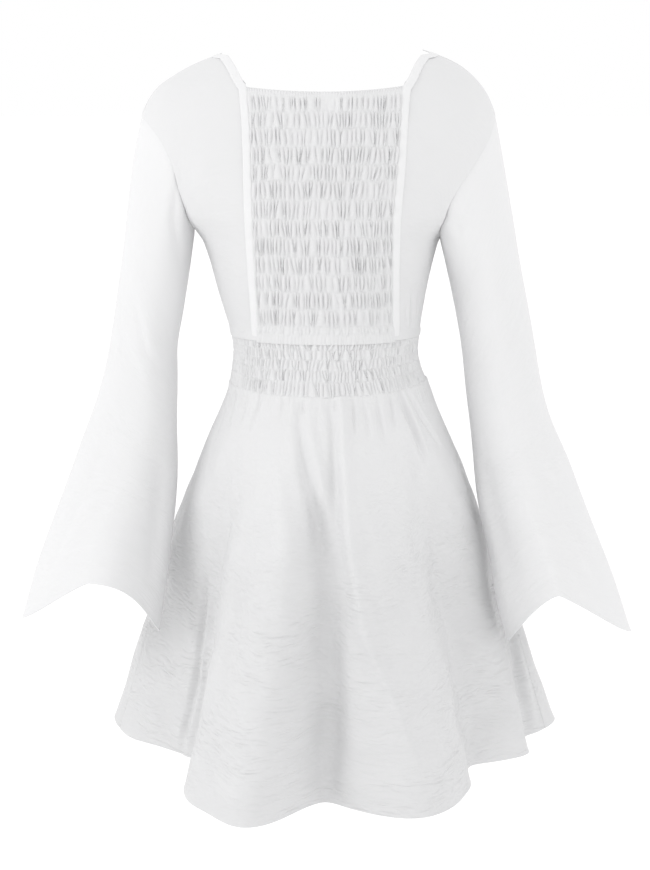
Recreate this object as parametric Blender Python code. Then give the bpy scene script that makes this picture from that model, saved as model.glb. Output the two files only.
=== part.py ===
"""Peasant dress with a smocked back, shirred waistband, gathered skirt and long bell sleeves.

The dress hangs filled out, as if worn, with its back towards -Y, its front towards +Y and +Z up.
The origin lies midway between the two shoulder seams, at the height of their neck ends.
Left and right are the wearer's: the left sleeve hangs at -X. All sizes are in metres.

Every cloth piece is a thin wall. Its outer face is a patch of one of three surfaces: the body,
the skirt or a sleeve, each worked out from a short table of sizes. A turn runs round a surface:
on the body and skirt 0 is the centre back, 90 degrees the right side and 180 the centre front;
on a sleeve 0 is the outer fold, 90 degrees the back and 180 the fold next to the body.
"""

import math

import bpy
from mathutils import Vector

COLLECTION = "peasant_dress"

WALL = 0.0012
SEAM = 0.0006
STRIP_LIFT = 0.0003

NECK_POINT_Z = {"left": -0.003, "right": 0.001}
ARMHOLE_TOP_Z = -0.077
ARMHOLE_BOTTOM_Z = {"left": -0.213, "right": -0.222}
ARMHOLE_HALF_DEPTH = 0.058
ARMHOLE_SKEW = {"left": 0.0, "right": 0.42}
NECK_BACK_Z = {"left": -0.0415, "right": -0.0402}
NECK_BACK_SAG = 0.006
NECK_FRONT_Z = -0.130
NECK_FRONT_SPREAD = 0.006
WAIST_TOP_Z = -0.345
WAIST_BOTTOM_Z = -0.404
HEM_SIDE_Z = -0.846
HEM_BACK_DROP = 0.021
SIDE_SIGN = {"left": -1, "right": 1}

# Half widths to the left and right side of the body and skirt, and their depths to back and front
BODY = (
    # height, left, right, back, front
    (0.006, 0.100, 0.100, 0.045, 0.044),
    (0.000, 0.116, 0.118, 0.050, 0.048),
    (-0.007, 0.135, 0.138, 0.056, 0.053),
    (-0.016, 0.157, 0.157, 0.062, 0.058),
    (-0.026, 0.176, 0.171, 0.068, 0.063),
    (-0.044, 0.202, 0.188, 0.077, 0.071),
    (-0.063, 0.215, 0.198, 0.084, 0.078),
    (-0.078, 0.221, 0.203, 0.088, 0.083),
    (-0.110, 0.224, 0.206, 0.096, 0.096),
    (-0.150, 0.213, 0.197, 0.103, 0.108),
    (-0.190, 0.182, 0.172, 0.105, 0.114),
    (-0.222, 0.151, 0.138, 0.103, 0.112),
    (-0.245, 0.142, 0.131, 0.100, 0.107),
    (-0.284, 0.131, 0.122, 0.092, 0.096),
    (-0.323, 0.120, 0.116, 0.087, 0.087),
    (-0.345, 0.114, 0.113, 0.086, 0.084),
    (-0.360, 0.113, 0.112, 0.089, 0.085),
    (-0.383, 0.115, 0.117, 0.100, 0.090),
    (-0.404, 0.119, 0.127, 0.112, 0.098),
    (-0.430, 0.129, 0.137, 0.126, 0.108),
    (-0.463, 0.144, 0.151, 0.141, 0.121),
    (-0.503, 0.159, 0.168, 0.155, 0.135),
    (-0.554, 0.177, 0.187, 0.170, 0.151),
    (-0.610, 0.195, 0.204, 0.183, 0.168),
    (-0.670, 0.209, 0.223, 0.195, 0.184),
    (-0.730, 0.228, 0.247, 0.204, 0.199),
    (-0.790, 0.245, 0.266, 0.211, 0.213),
    (-0.850, 0.263, 0.286, 0.217, 0.226),
    (-0.900, 0.275, 0.301, 0.221, 0.236),
)

# Distance from the centre line to the seam beside the smocked panel, which runs on as the neck edge
PANEL_EDGE = (
    # height, left, right
    (0.001, 0.1235, 0.1180),
    (-0.008, 0.1130, 0.1090),
    (-0.016, 0.1070, 0.1030),
    (-0.027, 0.1005, 0.0975),
    (-0.036, 0.0955, 0.0922),
    (-0.040, 0.0925, 0.0897),
    (-0.120, 0.0868, 0.0837),
    (-0.208, 0.0848, 0.0770),
    (-0.345, 0.0790, 0.0790),
)

# Folds of the skirt: a crest has a push outwards at the hem, a valley one inwards
SKIRT_FOLDS = (
    # turn at the waist, turn at the hem, push at the hem, half width in degrees, start down the skirt
    (-4, -2, -0.033, 7.0, 0.02),
    (-11, -14, 0.070, 6.4, 0.00),
    (-24, -28, 0.035, 8.0, 0.05),
    (10, 18, 0.048, 9.3, 0.00),
    (-47, -54, -0.062, 8.5, 0.10),
    (-68, -70, -0.044, 8.5, 0.30),
    (45, 53, -0.060, 9.0, 0.10),
    (78, 80, -0.036, 6.0, 0.45),
    (97, 99, 0.006, 6.0, 0.50),
    (-104, -108, 0.022, 9.0, 0.15),
    (106, 112, 0.020, 9.0, 0.15),
    (-124, -130, -0.042, 9.0, 0.10),
    (128, 134, -0.040, 9.0, 0.10),
    (-146, -152, 0.030, 9.0, 0.05),
    (148, 155, 0.034, 9.0, 0.05),
    (178, 182, -0.040, 9.0, 0.05),
)
FOLD_GROWTH = 0.9
WAIST_GATHERS = 48
WAIST_GATHER_DEPTH = 0.0024
WAIST_GATHER_FADE = 0.10
WAIST_GATHER_START = 0.03
GATHER_DEPTHS = (0.3, 1.2)
GATHER_LENGTHS = (0.4, 1.6)

# Smocked panel and shirred waistband: small puckers stand between lines of elastic
SMOCKED_GATHERS = 24
SMOCKED_BANDS = 12
SMOCKED_TOP_Z = -0.0695
SMOCKED_BOTTOM_Z = -0.3225
SMOCKED_RAISE = 0.0026
PUCKER_HEIGHTS = (0.6, 1.0)
SHIRRED_GATHERS = 34
SHIRRED_BANDS = 4
SHIRRED_RAISE = 0.0017
SHIRRED_EDGE_FADE = 0.22
BINDING_WIDTH = 0.009

# Each sleeve runs from the armhole to the hem between an outer and an inner fold
SLEEVES = {
    "left": (
        # share of length, outer fold x, y, z, inner fold x, y, z, half depth, pointedness
        (0.00, -0.2215, 0.000, -0.077, -0.1590, 0.000, -0.213, 0.058, 0.00),
        (0.08, -0.2310, 0.000, -0.124, -0.1650, -0.001, -0.255, 0.054, 0.00),
        (0.18, -0.2405, 0.000, -0.189, -0.1730, -0.003, -0.309, 0.050, 0.02),
        (0.30, -0.2500, -0.002, -0.266, -0.1820, -0.008, -0.367, 0.046, 0.05),
        (0.42, -0.2622, -0.008, -0.342, -0.1817, -0.018, -0.425, 0.043, 0.10),
        (0.54, -0.2794, -0.018, -0.415, -0.1810, -0.032, -0.482, 0.043, 0.16),
        (0.66, -0.3048, -0.030, -0.485, -0.1827, -0.050, -0.537, 0.046, 0.22),
        (0.78, -0.3315, -0.042, -0.555, -0.1876, -0.070, -0.590, 0.050, 0.28),
        (0.90, -0.3552, -0.055, -0.623, -0.1944, -0.090, -0.642, 0.055, 0.33),
        (1.00, -0.3717, -0.065, -0.681, -0.2003, -0.103, -0.687, 0.060, 0.36),
    ),
    "right": (
        (0.00, 0.2020, 0.000, -0.077, 0.1380, 0.000, -0.222, 0.058, 0.00),
        (0.08, 0.2125, 0.000, -0.130, 0.1476, -0.001, -0.263, 0.054, 0.00),
        (0.18, 0.2260, 0.000, -0.196, 0.1580, -0.003, -0.314, 0.050, 0.02),
        (0.30, 0.2398, -0.002, -0.275, 0.1680, -0.008, -0.374, 0.046, 0.05),
        (0.42, 0.2550, -0.008, -0.352, 0.1740, -0.018, -0.433, 0.043, 0.10),
        (0.54, 0.2705, -0.018, -0.428, 0.1800, -0.032, -0.492, 0.043, 0.16),
        (0.66, 0.2997, -0.030, -0.499, 0.1865, -0.050, -0.547, 0.046, 0.22),
        (0.78, 0.3272, -0.042, -0.569, 0.1978, -0.070, -0.601, 0.050, 0.28),
        (0.90, 0.3542, -0.055, -0.639, 0.2066, -0.090, -0.655, 0.055, 0.33),
        (1.00, 0.3736, -0.065, -0.698, 0.2184, -0.103, -0.699, 0.060, 0.36),
    ),
}
SLEEVE_HEM_ARCH = 0.068
SLEEVE_ARCH_PEAK = {"left": -0.07, "right": -0.27}
SLEEVE_ARCH_CURVE = {"left": (1.15, 2.8), "right": (1.15, 1.6)}
SLEEVE_ARCH_START = 0.50
SLEEVE_BLEND = 0.16
SLEEVE_FLUTES = 5
SLEEVE_FLUTE_DEPTH = 0.003

# The back half runs from the left side to the right, the front half on from there
BACK_START = -math.pi / 2
FRONT_START = math.pi / 2

# Where the cloth walls have their rows and columns of points
ARMHOLE_STEPS = 10
INNER_ROW_Z = (-0.006, -0.014, -0.027, -0.040, -0.070, -0.100, -0.130, -0.160, -0.192, -0.222)
LOWER_ROW_Z = (-0.250, -0.284, -0.316)
SIDE_COLUMNS = 6
FRONT_COLUMNS = 8
SKIRT_COLUMNS = 48
SKIRT_ROWS = (0.0, 0.025, 0.055, 0.095, 0.15, 0.22, 0.31, 0.41, 0.51, 0.61, 0.71, 0.81, 0.91, 1.0)
SLEEVE_ROWS = (0.0, 0.04, 0.09, 0.16, 0.24, 0.32, 0.40, 0.48, 0.56, 0.64, 0.73, 0.82, 0.91, 1.0)
WAISTBAND_ROWS = 3
PLAIN_BACK_COLUMNS = 8
PLAIN_BACK_ROW_EVERY = 3
PLAIN_BAND_ROW_EVERY = 4
DIFFERENCE_STEP = 1e-4
HALVINGS = 30
UNEVEN_TURNS = (12.9, 4.7)

# Colours as red, green, blue, with roughness
CLOTH_FINISHES = {
    "crepe": ((0.86, 0.87, 0.88, 1.0), 0.90),
    "smocked_crepe": ((0.83, 0.84, 0.85, 1.0), 0.92),
    "binding": ((0.90, 0.90, 0.91, 1.0), 0.85),
}


def slope_at(keys, values, i):
    """Slope of a smooth curve at one of its points, flat where the values turn back."""
    last = len(keys) - 1
    if i == 0:
        return (values[1] - values[0]) / (keys[1] - keys[0])
    if i == last:
        return (values[last] - values[last - 1]) / (keys[last] - keys[last - 1])
    before = (values[i] - values[i - 1]) / (keys[i] - keys[i - 1])
    after = (values[i + 1] - values[i]) / (keys[i + 1] - keys[i])
    if before * after <= 0:
        return 0.0
    return 2 * before * after / (before + after)


def read_table(table, column, key):
    """Value in a column of a table at a key between its rows, on a smooth curve through them."""
    keys = [row[0] for row in table]
    values = [row[column] for row in table]
    order = 1 if keys[-1] > keys[0] else -1
    i = 0
    while i < len(keys) - 2 and order * key > order * keys[i + 1]:
        i += 1
    span = keys[i + 1] - keys[i]
    t = min(1.0, max(0.0, (key - keys[i]) / span))
    start_slope = slope_at(keys, values, i) * span
    end_slope = slope_at(keys, values, i + 1) * span
    start_part = values[i] * (1 + 2 * t) + start_slope * t
    end_part = values[i + 1] * (3 - 2 * t) + end_slope * (t - 1)
    return start_part * (1 - t) ** 2 + end_part * t**2


def ease(t):
    """Smooth step from 0 to 1."""
    t = min(1.0, max(0.0, t))
    return t * t * (3 - 2 * t)


def uneven(index, phase, lowest, highest):
    """A fixed, irregular number for each index, between a lowest and a highest one."""
    fast, slow = UNEVEN_TURNS
    wave = (math.sin(fast * index + phase) + math.sin(slow * index + 2 * phase)) / 2
    return (lowest + highest) / 2 + (highest - lowest) / 2 * wave


def body_sizes(turn, z):
    """Half width and depth of the body on the side and face that the turn is on."""
    side_column = 2 if math.sin(turn) > 0 else 1
    face_column = 3 if math.cos(turn) > 0 else 4
    return read_table(BODY, side_column, z), read_table(BODY, face_column, z)


def body_point(turn, z):
    """Point of the body's surface at a turn and a height."""
    half_width, depth = body_sizes(turn, z)
    return Vector((half_width * math.sin(turn), -depth * math.cos(turn), z))


def hem_height(turn):
    """Height of the skirt's hem, a little lower at the back."""
    return HEM_SIDE_Z - HEM_BACK_DROP * max(0.0, math.cos(turn))


def fold_push(turn, share):
    """How far the skirt's large folds push the cloth outwards at a turn, a share of the way down."""
    push = 0.0
    for waist_turn, hem_turn, hem_push, half_width, start in SKIRT_FOLDS:
        centre = math.radians(waist_turn + (hem_turn - waist_turn) * share)
        offset = (turn - centre + math.pi) % (2 * math.pi) - math.pi
        grown = max(0.0, (share - start) / (1 - start)) ** FOLD_GROWTH
        push += hem_push * grown * math.exp(-0.5 * (offset / math.radians(half_width)) ** 2)
    return push


def gather_push(turn, share):
    """The short gathers under the waist seam, which die out down the skirt."""
    index = round(turn * WAIST_GATHERS / math.pi)
    wave = math.cos(turn * WAIST_GATHERS) * uneven(index, 2, *GATHER_DEPTHS)
    reach = WAIST_GATHER_FADE * uneven(index, 0, *GATHER_LENGTHS)
    return WAIST_GATHER_DEPTH * wave * ease(share / WAIST_GATHER_START) * math.exp(-share / reach)


def skirt_point(turn, share):
    """Point of the skirt's surface at a turn, a share of the way from the waist seam to the hem."""
    top = WAIST_BOTTOM_Z - SEAM
    point = body_point(turn, top + (hem_height(turn) - top) * share)
    outwards = Vector((point.x, point.y, 0)).normalized()
    return point + outwards * (fold_push(turn, share) + gather_push(turn, share))


def armhole_turn(side, loop_turn):
    """Turn on the body, and height, of a point of the armhole seam."""
    middle = (ARMHOLE_TOP_Z + ARMHOLE_BOTTOM_Z[side]) / 2
    z = middle + (ARMHOLE_TOP_Z - middle) * math.cos(loop_turn)
    skewed = 1 - ARMHOLE_SKEW[side] * math.cos(loop_turn)
    y = -ARMHOLE_HALF_DEPTH * math.sin(loop_turn) * skewed
    depth = read_table(BODY, 3 if y < 0 else 4, z)
    return SIDE_SIGN[side] * math.acos(-y / depth), z


def arch_profile(side, across):
    """Height of the sleeve hem's arch, from 0 at the folds (across -1 and 1) to 1 at its peak."""
    peak = SLEEVE_ARCH_PEAK[side]
    outer_curve, inner_curve = SLEEVE_ARCH_CURVE[side]
    if across > peak:
        return 1 - ((across - peak) / (1 - peak)) ** outer_curve
    return 1 - ((peak - across) / (1 + peak)) ** inner_curve


def sleeve_tube(side, loop_turn, share):
    """Point of a sleeve as a plain tube between its two folds."""
    row = [read_table(SLEEVES[side], column, share) for column in range(1, 9)]
    outer = Vector(row[0:3])
    inner = Vector(row[3:6])
    half_depth, pointed = row[6:8]
    across = (outer + inner) / 2 + (outer - inner) / 2 * math.cos(loop_turn)
    bulge = math.sin(loop_turn) * abs(math.sin(loop_turn)) ** pointed
    flute = SLEEVE_FLUTE_DEPTH * share**2 * math.cos(SLEEVE_FLUTES * loop_turn)
    flute *= abs(math.sin(loop_turn))
    rise = SLEEVE_HEM_ARCH * arch_profile(side, math.cos(loop_turn))
    rise *= ease((share - SLEEVE_ARCH_START) / (1 - SLEEVE_ARCH_START))
    return across + Vector((0, -bulge * half_depth + flute, rise))


def sleeve_point(side, loop_turn, share):
    """Point of a sleeve: it starts as the armhole seam and soon becomes the plain tube."""
    turn, z = armhole_turn(side, loop_turn)
    away = Vector((SIDE_SIGN[side], 0, -max(0.0, math.cos(loop_turn)))).normalized() * SEAM
    correction = body_point(turn, z) + away - sleeve_tube(side, loop_turn, 0.0)
    return sleeve_tube(side, loop_turn, share) + correction * (1 - ease(share / SLEEVE_BLEND))


def with_normal(surface, turn, second):
    """A surface's point and its outward normal, from the change to each side of the point."""
    step = DIFFERENCE_STEP
    along_turn = surface(turn + step, second) - surface(turn - step, second)
    along_second = surface(turn, second + step) - surface(turn, second - step)
    return surface(turn, second), along_turn.cross(along_second).normalized()


def facing_out(cells, centre_of):
    """Turn each normal so that it points away from the axis of its piece."""
    rows = []
    for row in cells:
        turned = []
        for cell in row:
            if cell is not None:
                point, normal = cell
                points_out = normal.dot(point - centre_of(point)) > 0
                cell = (point, normal if points_out else -normal)
            turned.append(cell)
        rows.append(turned)
    return rows


def moved(cells, distance):
    """The points of a patch, moved along their normals."""
    return [[cell and cell[0] + cell[1] * distance for cell in row] for row in cells]


def nudged(cells, row_index, column, shift):
    """Move one point of a patch aside, to leave half a seam's gap there."""
    point, normal = cells[row_index][column]
    cells[row_index][column] = (point + shift, normal)


def finished_object(name, points, faces, finish):
    """A mesh object with its material, in the garment's collection, its faces all pointing out."""
    mesh = bpy.data.meshes.new(name)
    mesh.from_pydata([tuple(point) for point in points], [], faces)
    mesh.validate()
    mesh.materials.append(bpy.data.materials[finish])
    cloth = bpy.data.objects.new(name, mesh)
    bpy.data.collections[COLLECTION].objects.link(cloth)
    bpy.context.view_layer.objects.active = cloth
    cloth.select_set(True)
    bpy.ops.object.mode_set(mode="EDIT")
    bpy.ops.mesh.select_all(action="SELECT")
    bpy.ops.mesh.normals_make_consistent(inside=False)
    bpy.ops.object.mode_set(mode="OBJECT")
    cloth.select_set(False)
    return cloth


def cloth_wall(name, cells, finish, closed=False, lift=0.0):
    """A wall of even thickness. Cells hold points with normals, and None where there is no cloth."""
    outer = moved(cells, lift)
    inner = moved(cells, lift - WALL)
    rows = len(cells)
    columns = len(cells[0])
    points = []
    number = {}
    for layer, layer_points in enumerate((outer, inner)):
        for r in range(rows):
            for c in range(columns):
                if layer_points[r][c] is not None:
                    number[layer, r, c] = len(points)
                    points.append(layer_points[r][c])
    faces = []
    edges = set()
    for r in range(rows - 1):
        for c in range(columns if closed else columns - 1):
            after = (c + 1) % columns
            corners = [(r, c), (r, after), (r + 1, after), (r + 1, c)]
            if any(cells[row][column] is None for row, column in corners):
                continue
            faces.append([number[(0,) + corner] for corner in corners])
            faces.append([number[(1,) + corner] for corner in reversed(corners)])
            edges.update(zip(corners, corners[1:] + corners[:1]))
    for start, end in sorted(edges):
        if (end, start) not in edges:
            rim = [number[(0,) + end], number[(0,) + start], number[(1,) + start], number[(1,) + end]]
            faces.append(rim)
    return finished_object(name, points, faces, finish)


def stitched(fine, coarse):
    """Triangles between two rows of numbered points that run side by side but differ in count."""
    faces = []
    i = 0
    j = 0
    while i < len(fine) - 1 or j < len(coarse) - 1:
        next_fine = (i + 1) / (len(fine) - 1)
        next_coarse = (j + 1) / (len(coarse) - 1)
        if next_fine <= next_coarse:
            faces.append([fine[i], fine[i + 1], coarse[j]])
            i += 1
        else:
            faces.append([fine[i], coarse[j + 1], coarse[j]])
            j += 1
    return faces


def raised_wall(name, outer, inner, finish):
    """A wall whose outer points are raised in puckers over a plain, coarser inside."""
    points = []
    numbers = []
    for layer in (outer, inner):
        numbers.append([])
        for row in layer:
            numbers[-1].append(list(range(len(points), len(points) + len(row))))
            points.extend(row)
    faces = []
    for layer in numbers:
        for upper, lower in zip(layer, layer[1:]):
            for c in range(len(upper) - 1):
                faces.append([upper[c], upper[c + 1], lower[c + 1], lower[c]])
    fine, plain = numbers
    faces += stitched(fine[0], plain[0])
    faces += stitched(fine[-1], plain[-1])
    faces += stitched([row[0] for row in fine], [row[0] for row in plain])
    faces += stitched([row[-1] for row in fine], [row[-1] for row in plain])
    return finished_object(name, points, faces, finish)


def body_axis(point):
    """The point of the dress's middle line level with a point."""
    return Vector((0, 0, point.z))


def edge_turn(side, z, inset=0.0):
    """Turn on the body of the seam beside the smocked panel."""
    edge = read_table(PANEL_EDGE, 1 if side == "left" else 2, z) + inset
    half_width = read_table(BODY, 1 if side == "left" else 2, z)
    return SIDE_SIGN[side] * math.asin(min(1.0, edge / half_width))


def side_rows(side, on_back):
    """Rows of a shoulder-to-waist panel: height at the inner edge, then turn and height at the side.

    The turns are counted from the centre line of the panel's own face, back or front."""
    rows = []
    for step, inner_z in enumerate((NECK_POINT_Z[side],) + INNER_ROW_Z):
        loop_turn = math.pi * step / ARMHOLE_STEPS
        outer_turn, outer_z = armhole_turn(side, loop_turn if on_back else -loop_turn)
        rows.append((inner_z, abs(outer_turn) if on_back else math.pi - abs(outer_turn), outer_z))
    for z in LOWER_ROW_Z + (WAIST_TOP_Z + SEAM / 2,):
        rows.append((z, math.pi / 2, z))
    return rows


def share_at_width(point_at, width):
    """Share of the way along a row of a panel at which the distance from its start is a width."""
    low = 0.0
    high = 1.0
    for _ in range(HALVINGS):
        middle = (low + high) / 2
        if (point_at(middle) - point_at(0.0)).length < width:
            low = middle
        else:
            high = middle
    return high


def back_side_cells(side):
    """Points of a back side panel, whose top row is the shoulder seam."""
    sign = SIDE_SIGN[side]
    cells = []
    for index, (inner_z, outer_turn, outer_z) in enumerate(side_rows(side, True)):
        inner_turn = math.pi / 2 if index == 0 else abs(edge_turn(side, inner_z, SEAM / 2))

        def place(share):
            turn = inner_turn + (outer_turn - inner_turn) * share
            return sign * turn, inner_z + (outer_z - inner_z) * share

        first = share_at_width(lambda share: body_point(*place(share)), BINDING_WIDTH)
        rest = [first + (1 - first) * c / SIDE_COLUMNS for c in range(1, SIDE_COLUMNS + 1)]
        cells.append([with_normal(body_point, *place(share)) for share in [0.0, first] + rest])
    cells = facing_out(cells, body_axis)
    half_gap = Vector((0, -SEAM / 2, 0))
    for column in range(len(cells[0])):
        nudged(cells, 0, column, half_gap)
    for index in range(ARMHOLE_STEPS, len(cells)):
        nudged(cells, index, -1, half_gap)
    return cells


def front_cells():
    """Points of the front bodice, cut as one piece with its two shoulder straps."""
    rows = {side: side_rows(side, False) for side in SIDE_SIGN}
    cells = []
    for index, (inner_z, _, _) in enumerate(rows["left"]):
        halves = {}
        for side, sign in SIDE_SIGN.items():
            _, outer_turn, outer_z = rows[side][index]
            inner_turn = math.pi / 2
            if index > 0:
                inner_turn = abs(edge_turn(side, max(inner_z, NECK_FRONT_Z), NECK_FRONT_SPREAD))
            half = []
            for share in [c / SIDE_COLUMNS for c in range(SIDE_COLUMNS + 1)]:
                turn = math.pi - (inner_turn + (outer_turn - inner_turn) * share)
                z = inner_z + (outer_z - inner_z) * share
                half.append(with_normal(body_point, sign * turn, z))
            halves[side] = half
        left_inner = abs(edge_turn("left", max(inner_z, NECK_FRONT_Z), NECK_FRONT_SPREAD))
        right_inner = abs(edge_turn("right", max(inner_z, NECK_FRONT_Z), NECK_FRONT_SPREAD))
        middle = []
        for c in range(1, FRONT_COLUMNS):
            turn = math.pi + left_inner - (left_inner + right_inner) * c / FRONT_COLUMNS
            middle.append(with_normal(body_point, turn, inner_z) if inner_z <= NECK_FRONT_Z else None)
        cells.append(list(reversed(halves["left"])) + middle + halves["right"])
    cells = facing_out(cells, body_axis)
    half_gap = Vector((0, SEAM / 2, 0))
    for column, cell in enumerate(cells[0]):
        if cell is not None:
            nudged(cells, 0, column, half_gap)
    for index in range(ARMHOLE_STEPS, len(cells)):
        nudged(cells, index, 0, half_gap)
        nudged(cells, index, -1, half_gap)
    return cells


def pucker(column, band_row, gathers):
    """Height of a pucker, from 0 on the lines of elastic: they stand staggered from band to band."""
    if band_row % 2 == 0 or column in (0, 2 * gathers):
        return 0.0
    band = band_row // 2
    if (column + band) % 2:
        return 0.0
    return uneven(column + SMOCKED_BANDS * band, band, *PUCKER_HEIGHTS)


def neck_height(across):
    """Height of the back neck edge, which sags between its two corners."""
    level = NECK_BACK_Z["left"] + (NECK_BACK_Z["right"] - NECK_BACK_Z["left"]) * across
    return level - NECK_BACK_SAG * 4 * across * (1 - across)


def panel_cell(across, z):
    """Point of the smocked panel, from its left seam at 0 to its right seam at 1."""
    if z is None:
        z = neck_height(across)
    left = edge_turn("left", z, -SEAM / 2)
    right = edge_turn("right", z, -SEAM / 2)
    return with_normal(body_point, left + (right - left) * across, z)


def panel_cells(heights, columns):
    """Points of the smocked panel at some heights, in even columns."""
    rows = []
    for z in heights:
        rows.append([panel_cell(c / columns, z) for c in range(columns + 1)])
    return facing_out(rows, body_axis)


def smocked_heights():
    """Heights of the panel's rows: None for the neck edge, two rows to a band, then the waist seam."""
    steps = 2 * SMOCKED_BANDS
    lines = [SMOCKED_TOP_Z + (SMOCKED_BOTTOM_Z - SMOCKED_TOP_Z) * i / steps for i in range(steps + 1)]
    return [None] + lines + [WAIST_TOP_Z + SEAM / 2]


def smocked_panel():
    """The smocked centre back: puckers between lines of elastic, a short gathered heading on top."""
    columns = 2 * SMOCKED_GATHERS
    heights = smocked_heights()
    cells = panel_cells(heights, columns)
    outer = []
    for r, row in enumerate(cells):
        band_row = r - 1
        if r in (0, len(cells) - 1):
            raises = [0.0] * len(row)
        else:
            raises = [SMOCKED_RAISE * pucker(c, band_row, SMOCKED_GATHERS) for c in range(len(row))]
        outer.append([point + normal * height for (point, normal), height in zip(row, raises)])
    every = PLAIN_BACK_ROW_EVERY
    plain = panel_cells([None] + heights[every:-1:every] + [heights[-1]], PLAIN_BACK_COLUMNS)
    raised_wall("back_smocked_panel", outer, moved(plain, -WALL), "smocked_crepe")


def half_cells(surface, start, count, seconds):
    """Points of half of the waistband or skirt, from one side seam to the other, each with half a gap.

    The half starts at a turn and has a count of columns, and a row for each height or share."""
    rows = []
    for second in seconds:
        rows.append([with_normal(surface, start + math.pi * c / count, second) for c in range(count + 1)])
    cells = facing_out(rows, body_axis)
    half_gap = Vector((0, math.copysign(SEAM / 2, start), 0))
    for index in range(len(cells)):
        nudged(cells, index, 0, half_gap)
        nudged(cells, index, -1, half_gap)
    return cells


def waistband_heights(steps):
    """Heights from the top of the waistband to its bottom, in even steps."""
    top = WAIST_TOP_Z - SEAM / 2
    return [top + (WAIST_BOTTOM_Z - top) * r / steps for r in range(steps + 1)]


def waistband_back():
    """The shirred band across the back; its puckers flatten out towards the side seams."""
    columns = 2 * SHIRRED_GATHERS
    steps = 2 * SHIRRED_BANDS
    heights = waistband_heights(steps)
    cells = half_cells(body_point, BACK_START, columns, heights)
    outer = []
    for r, row in enumerate(cells):
        raised = []
        for c, (point, normal) in enumerate(row):
            from_side = min(c, columns - c) / columns
            height = SHIRRED_RAISE * pucker(c, r, SHIRRED_GATHERS) * ease(from_side / SHIRRED_EDGE_FADE)
            raised.append(point + normal * height)
        outer.append(raised)
    plain = half_cells(body_point, BACK_START, 2 * PLAIN_BACK_COLUMNS, heights[::PLAIN_BAND_ROW_EVERY])
    raised_wall("waistband_back", outer, moved(plain, -WALL), "smocked_crepe")


def waistband_front():
    """The flat front of the waistband, between the side seams."""
    heights = waistband_heights(WAISTBAND_ROWS)
    cells = half_cells(body_point, FRONT_START, 2 * PLAIN_BACK_COLUMNS, heights)
    cloth_wall("waistband_front", cells, "crepe")


def skirt_panel(name, start):
    """Half of the skirt, gathered into the waist seam and falling in large folds."""
    cloth_wall(name, half_cells(skirt_point, start, SKIRT_COLUMNS, SKIRT_ROWS), "crepe")


def sleeve(side):
    """A long bell sleeve, one tube from the armhole to its arched hem."""
    def surface(loop_turn, share):
        return sleeve_point(side, loop_turn, share)

    count = 2 * ARMHOLE_STEPS
    cells = []
    for share in SLEEVE_ROWS:
        cells.append([with_normal(surface, 2 * math.pi * c / count, share) for c in range(count)])
    outward = SIDE_SIGN[side]
    cells = [[(point, normal * outward) for point, normal in row] for row in cells]
    cloth_wall("sleeve_" + side, cells, "crepe", closed=True)


def start_collection():
    """An empty scene with the garment's own collection."""
    for old in list(bpy.data.objects):
        bpy.data.objects.remove(old, do_unlink=True)
    bpy.context.scene.collection.children.link(bpy.data.collections.new(COLLECTION))


def make_finishes():
    """One material for each kind of cloth."""
    for name, (colour, roughness) in CLOTH_FINISHES.items():
        material = bpy.data.materials.new(name)
        material.use_nodes = True
        shader = material.node_tree.nodes["Principled BSDF"]
        shader.inputs["Base Color"].default_value = colour
        shader.inputs["Roughness"].default_value = roughness
        shader.inputs["Metallic"].default_value = 0.0


def main():
    start_collection()
    make_finishes()
    smocked_panel()
    for side in SIDE_SIGN:
        cells = back_side_cells(side)
        cloth_wall("back_side_" + side, cells, "crepe")
        strip = [row[:2] for row in cells]
        cloth_wall("neck_binding_" + side, strip, "binding", lift=STRIP_LIFT + WALL)
    cloth_wall("bodice_front", front_cells(), "crepe")
    waistband_back()
    waistband_front()
    skirt_panel("skirt_back", BACK_START)
    skirt_panel("skirt_front", FRONT_START)
    for side in SIDE_SIGN:
        sleeve(side)


main()
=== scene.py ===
# %% [markdown]
# # A white peasant dress, built from its pattern pieces
#
# The dress hangs filled out, as if worn, and the camera looks at its back: a smocked panel between two
# flat strips, a shirred waistband, a gathered skirt and long bell sleeves with arched hems. The packed
# model gives the frame in metres: the back faces -Y, +Z is up, and the wearer's left sleeve hangs at -X.
#
# Every piece of cloth is made in the same four steps, as a maker works: the pattern piece is a flat grid,
# it is laid onto the form of the body, its gathers and creases are put in, and then it gets the thickness
# of the cloth. A cloth simulation was the other way, but folds placed one by one stay where the real ones
# lie.

# %% Load the imported model
import math

import bpy
import numpy as np
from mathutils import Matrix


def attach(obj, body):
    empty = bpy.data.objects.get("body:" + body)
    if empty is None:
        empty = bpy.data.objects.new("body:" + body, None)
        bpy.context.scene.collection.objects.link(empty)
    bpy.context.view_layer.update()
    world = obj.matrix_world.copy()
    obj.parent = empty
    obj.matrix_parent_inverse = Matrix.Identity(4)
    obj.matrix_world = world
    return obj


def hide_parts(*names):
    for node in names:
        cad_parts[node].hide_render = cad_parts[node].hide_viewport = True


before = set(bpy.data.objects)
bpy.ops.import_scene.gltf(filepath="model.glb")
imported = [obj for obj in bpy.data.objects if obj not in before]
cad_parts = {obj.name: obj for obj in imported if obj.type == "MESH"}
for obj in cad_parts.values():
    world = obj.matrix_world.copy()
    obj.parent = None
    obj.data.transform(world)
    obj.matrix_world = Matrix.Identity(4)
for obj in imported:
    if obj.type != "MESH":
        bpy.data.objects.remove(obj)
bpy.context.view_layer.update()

bpy.ops.object.select_all(action="DESELECT")

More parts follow.
